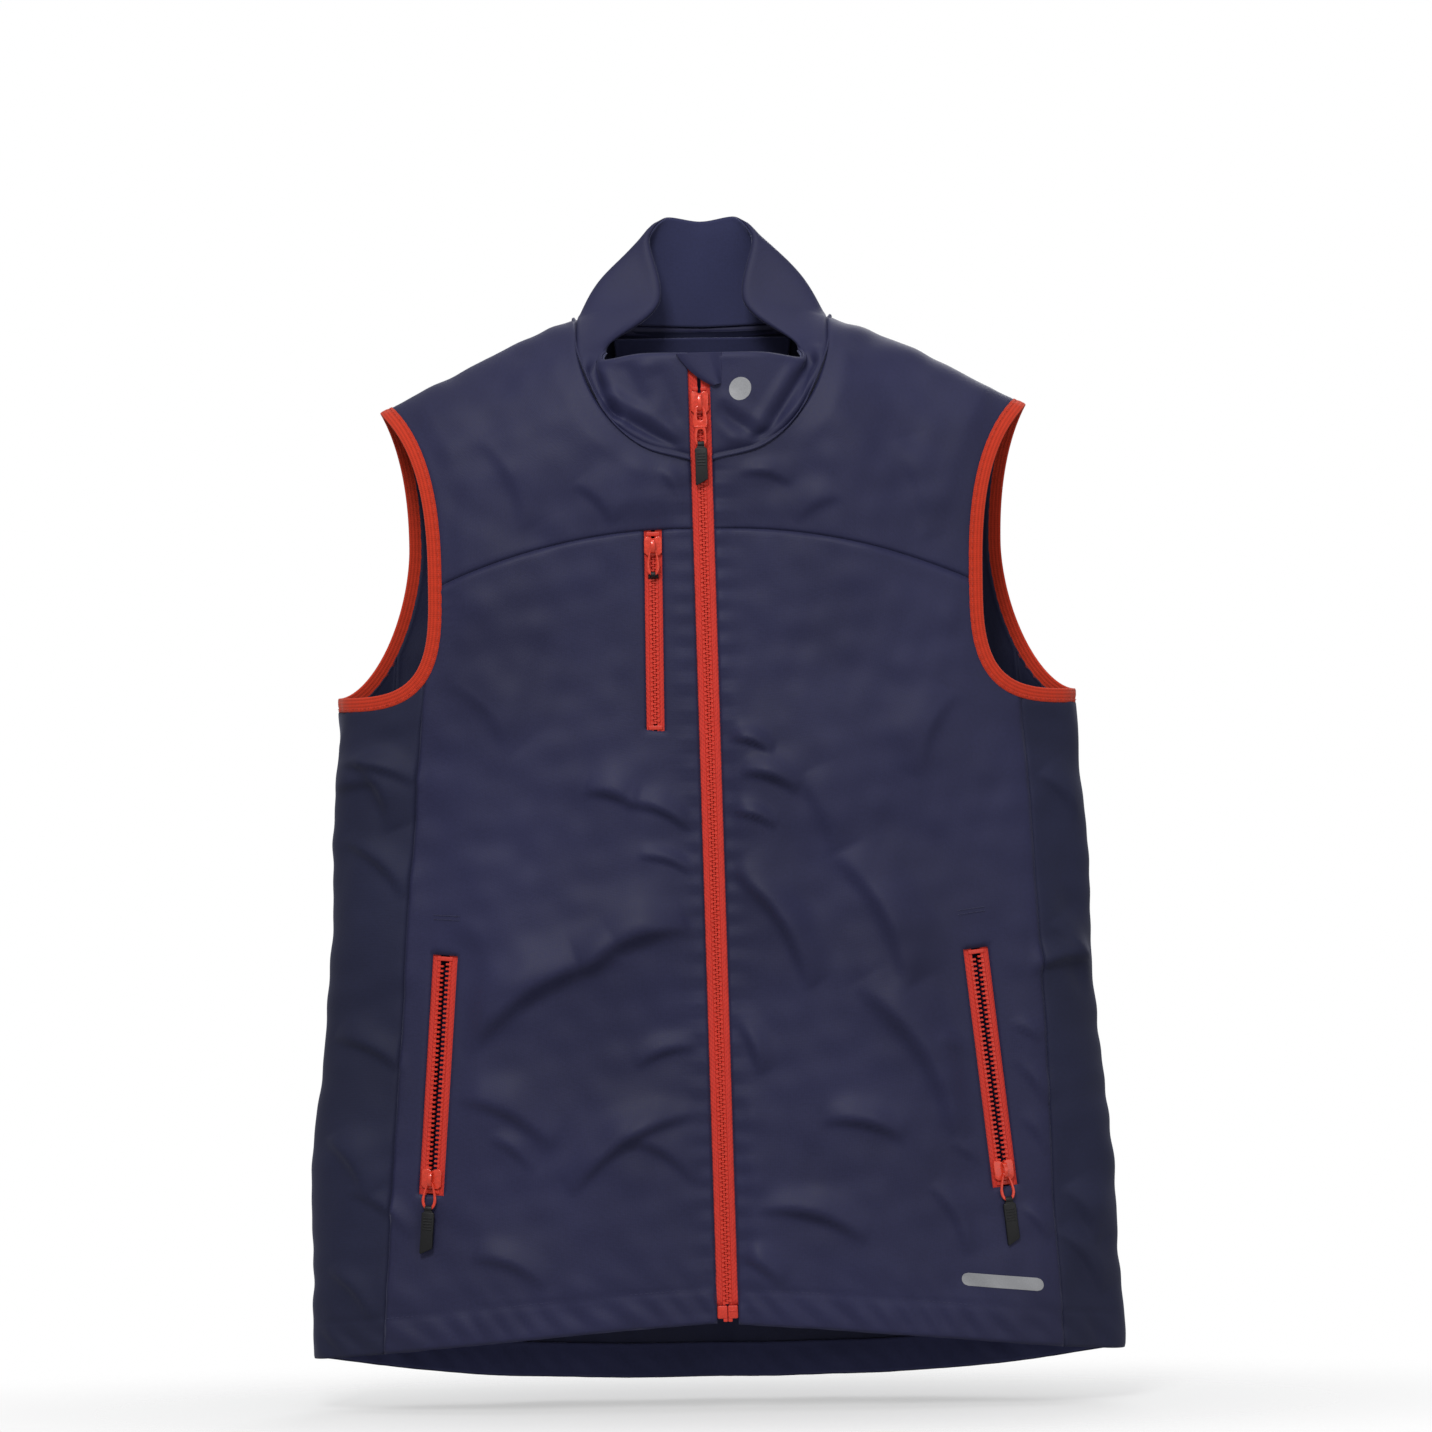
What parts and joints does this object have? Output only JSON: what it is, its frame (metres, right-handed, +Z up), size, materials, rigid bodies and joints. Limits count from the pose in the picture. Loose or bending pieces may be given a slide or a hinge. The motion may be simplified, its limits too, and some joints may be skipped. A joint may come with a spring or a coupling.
{
  "type": "sleeveless foul weather jacket",
  "caption": "Sleeveless full-zip sailing jacket with a stand collar, contrast zips and elastic-bound armholes, hanging on its shoulder line.",
  "frame": {"origin": "middle of the neck opening at the height where the shoulders meet the collar, where a hanger holds the garment", "axes": "+Z up along the hanging garment, -Y out of its front, +X towards the wearer's left"},
  "size_m": [0.5512, 0.1351, 0.8028],
  "materials": {
    "shell_front": "smooth tightly woven polyester soft shell with a faint satin sheen",
    "shell_side": "the same woven shell cloth, a shade darker where it turns from the light",
    "facing": "matt woven facing",
    "binding": "ribbed elastic binding tape",
    "zip_tape": "woven zip tape",
    "zip_teeth": "moulded acetal",
    "zip_slider": "gloss enamel on a zinc die casting",
    "pull_tab": "moulded soft rubber",
    "pocket_mesh": "warp-knitted pocket mesh"
  },
  "bodies": {
    "jacket": {"front_body_right": "shell_front", "front_yoke_right": "shell_front", "side_panel_right": "shell_side", "armhole_binding_right": "binding", "hem_facing_front_right": "facing", "hand_pocket_bag_right": "pocket_mesh", "front_body_left": "shell_front", "front_yoke_left": "shell_front", "side_panel_left": "shell_side", "armhole_binding_left": "binding", "hem_facing_front_left": "facing", "hand_pocket_bag_left": "pocket_mesh", "back_panel": "shell_side", "collar_outer": "shell_front", "collar_inner": "facing", "back_neck_facing": "facing", "hem_facing_back": "facing", "chest_pocket_bag": "pocket_mesh", "inner_wind_flap": "facing", "chin_guard": "shell_front", "main_zip_tape_right": "zip_tape", "main_zip_teeth_right": "zip_teeth", "main_zip_tape_left": "zip_tape", "main_zip_teeth_left": "zip_teeth", "chest_zip_tape_right": "zip_tape", "chest_zip_teeth_right": "zip_teeth", "chest_zip_tape_left": "zip_tape", "chest_zip_teeth_left": "zip_teeth", "chest_zip_top_stop": "zip_teeth", "chest_zip_bottom_stop": "zip_teeth", "hand_zip_right_tape_right": "zip_tape", "hand_zip_right_teeth_right": "zip_teeth", "hand_zip_right_tape_left": "zip_tape", "hand_zip_right_teeth_left": "zip_teeth", "hand_zip_right_top_stop": "zip_teeth", "hand_zip_right_bottom_stop": "zip_teeth", "hand_zip_left_tape_right": "zip_tape", "hand_zip_left_teeth_right": "zip_teeth", "hand_zip_left_tape_left": "zip_tape", "hand_zip_left_teeth_left": "zip_teeth", "hand_zip_left_top_stop": "zip_teeth", "hand_zip_left_bottom_stop": "zip_teeth", "main_zip_top_stop_right": "zip_teeth", "main_zip_top_stop_left": "zip_teeth", "main_zip_box": "zip_teeth", "main_zip_pin": "zip_teeth"},
    "main_zip_slider": {"main_zip_slider": "zip_slider"},
    "main_zip_puller": {"main_zip_puller": "zip_slider"},
    "main_zip_pull_tab": {"main_zip_pull_tab": "pull_tab"},
    "chest_zip_slider": {"chest_zip_slider": "zip_slider"},
    "chest_zip_puller": {"chest_zip_puller": "zip_slider"},
    "chest_zip_pull_tab": {"chest_zip_pull_tab": "pull_tab"},
    "hand_zip_right_slider": {"hand_zip_right_slider": "zip_slider"},
    "hand_zip_right_puller": {"hand_zip_right_puller": "zip_slider"},
    "hand_zip_right_pull_tab": {"hand_zip_right_pull_tab": "pull_tab"},
    "hand_zip_left_slider": {"hand_zip_left_slider": "zip_slider"},
    "hand_zip_left_puller": {"hand_zip_left_puller": "zip_slider"},
    "hand_zip_left_pull_tab": {"hand_zip_left_pull_tab": "pull_tab"}
  },
  "joints": [
    {"name": "main_zip_slide", "type": "slide", "parent": "jacket", "child": "main_zip_slider", "axis": [0.017, 0, -0.9999], "range_m": [0, 0.602]},
    {"name": "main_zip_puller_hinge", "type": "hinge", "parent": "main_zip_slider", "child": "main_zip_puller", "pos_m": [-0.00211, -0.06325, -0.0687], "axis": [-0.9999, -0.0002, -0.017], "range_deg": [0, 150]},
    {"name": "main_zip_tab_hinge", "type": "hinge", "parent": "main_zip_puller", "child": "main_zip_pull_tab", "pos_m": [-0.00168, -0.06325, -0.09369], "axis": [-0.9999, -0.0002, -0.017], "range_deg": [0, 30]},
    {"name": "chest_zip_slide", "type": "slide", "parent": "jacket", "child": "chest_zip_slider", "axis": [0, 0, -1], "range_m": [0, 0.114]},
    {"name": "chest_zip_puller_hinge", "type": "hinge", "parent": "chest_zip_slider", "child": "chest_zip_puller", "pos_m": [-0.03504, -0.06307, -0.16438], "axis": [-0.9999, 0.0132, 0], "range_deg": [0, 100]},
    {"name": "chest_zip_tab_hinge", "type": "hinge", "parent": "chest_zip_puller", "child": "chest_zip_pull_tab", "pos_m": [-0.03504, -0.06307, -0.18138], "axis": [-0.9999, 0.0132, 0], "range_deg": [-70, 10]},
    {"name": "hand_zip_right_slide", "type": "slide", "parent": "jacket", "child": "hand_zip_right_slider", "axis": [0.0736, -0.0048, 0.9973], "range_m": [0, 0.1405]},
    {"name": "hand_zip_right_puller_hinge", "type": "hinge", "parent": "hand_zip_right_slider", "child": "hand_zip_right_puller", "pos_m": [-0.19205, -0.04941, -0.59094], "axis": [-0.9751, 0.2095, 0.073], "range_deg": [0, 150]},
    {"name": "hand_zip_right_tab_hinge", "type": "hinge", "parent": "hand_zip_right_puller", "child": "hand_zip_right_pull_tab", "pos_m": [-0.19334, -0.04933, -0.6084], "axis": [-0.9751, 0.2095, 0.073], "range_deg": [0, 30]},
    {"name": "hand_zip_left_slide", "type": "slide", "parent": "jacket", "child": "hand_zip_left_slider", "axis": [-0.1104, -0.0131, 0.9938], "range_m": [0, 0.1405]},
    {"name": "hand_zip_left_puller_hinge", "type": "hinge", "parent": "hand_zip_left_slider", "child": "hand_zip_left_puller", "pos_m": [0.19776, -0.04813, -0.59041], "axis": [-0.9698, -0.2174, -0.1106], "range_deg": [0, 150]},
    {"name": "hand_zip_left_tab_hinge", "type": "hinge", "parent": "hand_zip_left_puller", "child": "hand_zip_left_pull_tab", "pos_m": [0.19969, -0.0479, -0.6078], "axis": [-0.9698, -0.2174, -0.1106], "range_deg": [0, 30]}
  ]
}
